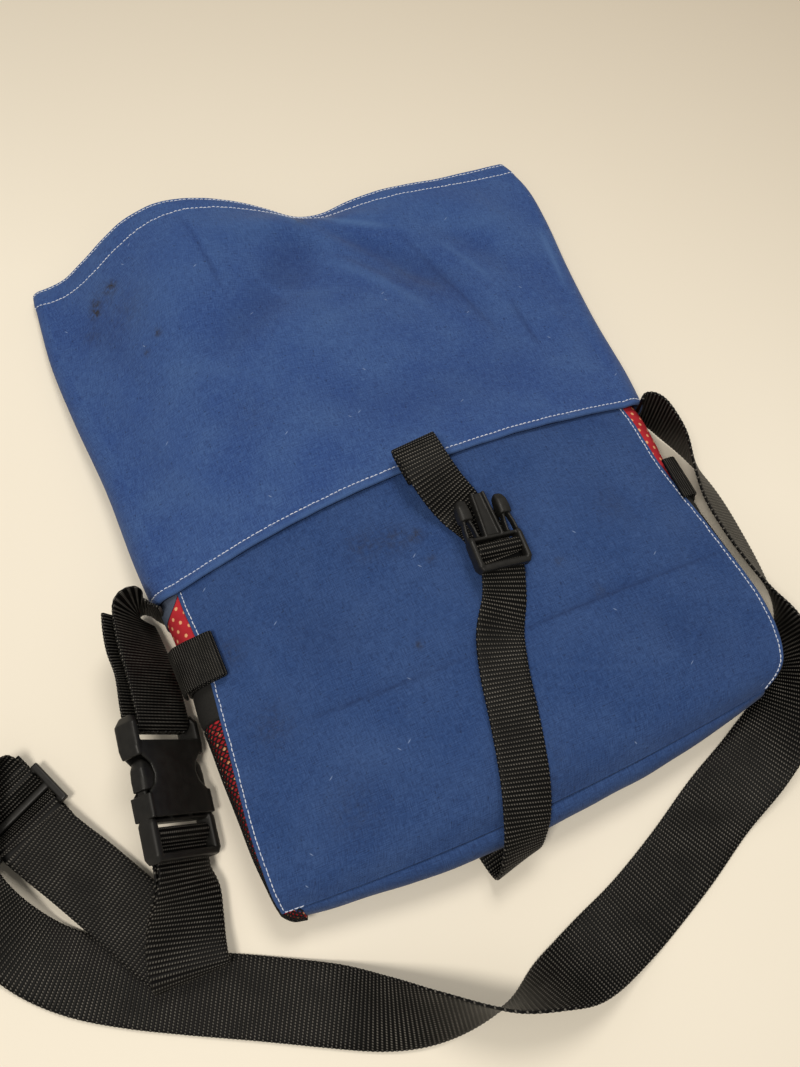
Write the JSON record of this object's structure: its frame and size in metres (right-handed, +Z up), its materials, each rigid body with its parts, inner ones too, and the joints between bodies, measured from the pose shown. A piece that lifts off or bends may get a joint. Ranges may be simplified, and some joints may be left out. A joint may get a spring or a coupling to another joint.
{
  "type": "roll-top messenger bag",
  "caption": "Flat canvas messenger bag lying on its back with its roll top laid out open, dotted side gussets, a buckled centre strap and a long webbing shoulder strap.",
  "frame": {"origin": "on the surface the bag lies on, under the middle of the bag without its straps", "axes": "+Z up, out of the front panel; +Y along the bag from its bottom seam to its open mouth; +X across it, to the right as seen from above"},
  "size_m": [0.4723, 0.5089, 0.0692],
  "materials": {
    "upper_canvas": "washed cotton canvas, matt",
    "lower_canvas": "cotton canvas, matt",
    "dotted_cotton": "red printed cotton with pale dots, matt",
    "slate_cotton": "plain cotton, matt",
    "pocket_mesh": "knitted mesh and its binding, matt",
    "webbing": "woven polypropylene webbing, slight sheen",
    "buckle_plastic": "moulded, semi-matt"
  },
  "bodies": {
    "root": {"roll_top": "upper_canvas", "front_panel": "lower_canvas", "back_panel": "lower_canvas", "bottom_panel": "lower_canvas", "side_gusset_left": "dotted_cotton", "side_gusset_right": "dotted_cotton", "mesh_pocket_left": "pocket_mesh", "mesh_pocket_right": "pocket_mesh", "mesh_binding_left": "pocket_mesh", "mesh_binding_right": "pocket_mesh", "gusset_patch_left": "slate_cotton", "side_tab_left": "webbing", "side_tab_right": "webbing", "centre_strap": "webbing", "centre_plug": "buckle_plastic", "strap_anchor_left": "webbing", "shoulder_socket": "buckle_plastic", "shoulder_plug": "buckle_plastic", "strap_under": "webbing", "strap_slider": "buckle_plastic", "shoulder_strap": "webbing"}
  },
  "joints": []
}
